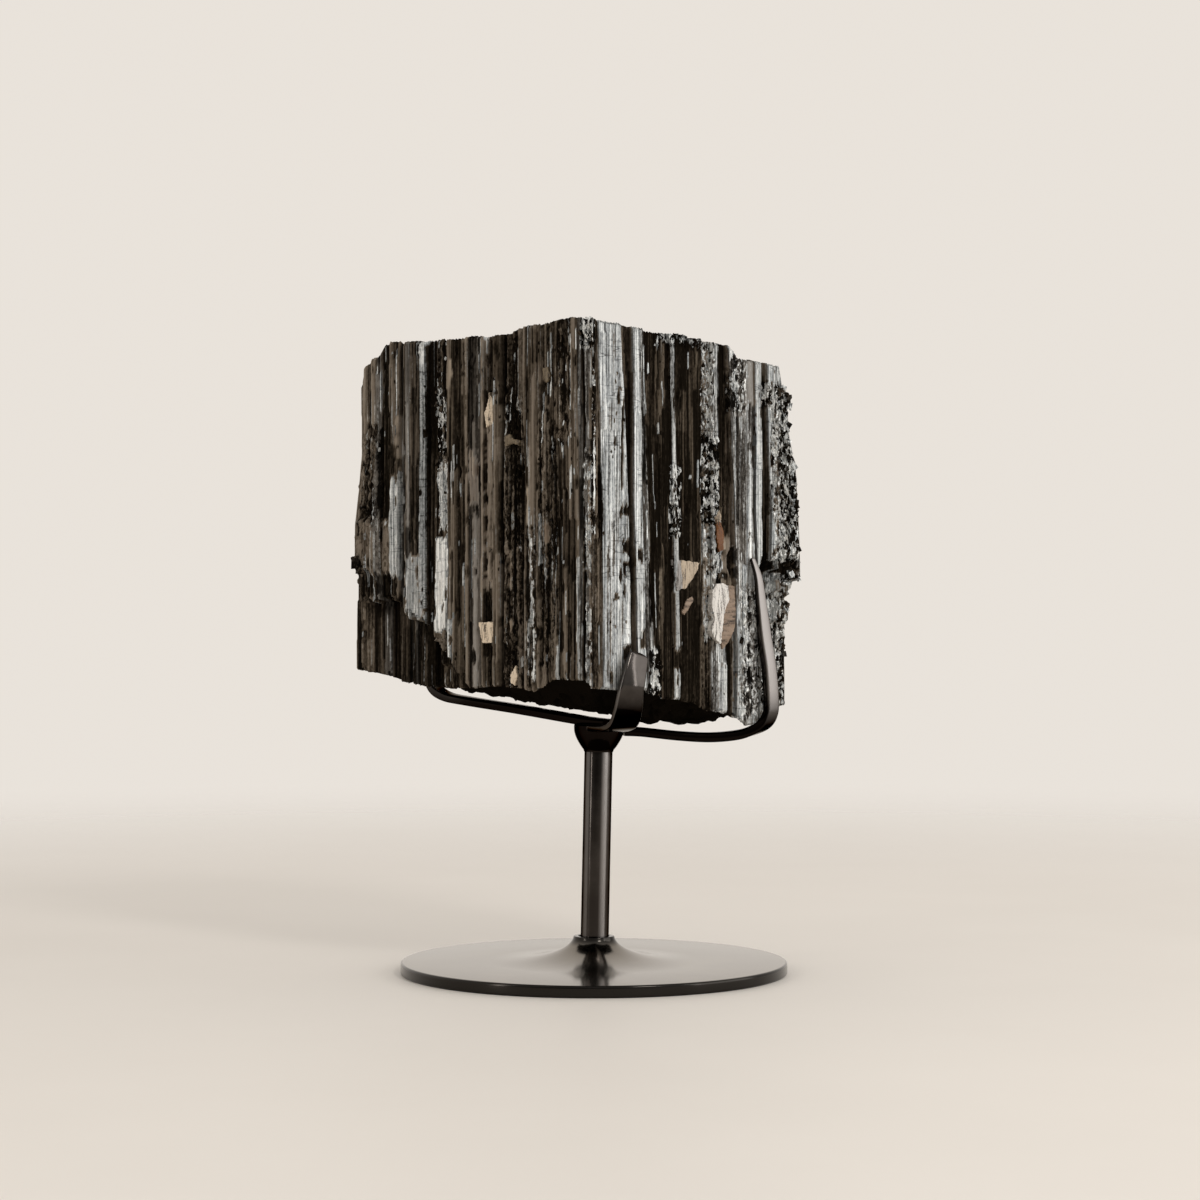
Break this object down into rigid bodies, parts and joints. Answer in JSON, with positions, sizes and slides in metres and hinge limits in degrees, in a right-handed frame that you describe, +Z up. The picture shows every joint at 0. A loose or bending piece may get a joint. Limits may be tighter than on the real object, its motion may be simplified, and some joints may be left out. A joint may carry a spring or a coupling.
{
  "type": "mineral specimen on stand",
  "caption": "Upright cluster of ribbed black tourmaline crystals held on a slim metal stand with a round base, a rod and bent arms that cradle the stone.",
  "frame": {"origin": "centre of the round base's underside, where the stand rests on the table", "axes": "+Z up, -Y towards the stone's front corner, where its two finest faces meet; +X to the right seen from the front"},
  "size_m": [0.2101, 0.178, 0.2966],
  "materials": {
    "stone": "black striated crystal faces, part glossy and part dull, with small tan and rust-brown spots",
    "steel": "dark blackened steel, satin"
  },
  "bodies": {
    "root": {"tourmaline": "stone", "base": "steel", "rod": "steel", "hub": "steel", "left_arm": "steel", "front_prong": "steel", "right_arm": "steel"}
  },
  "joints": []
}
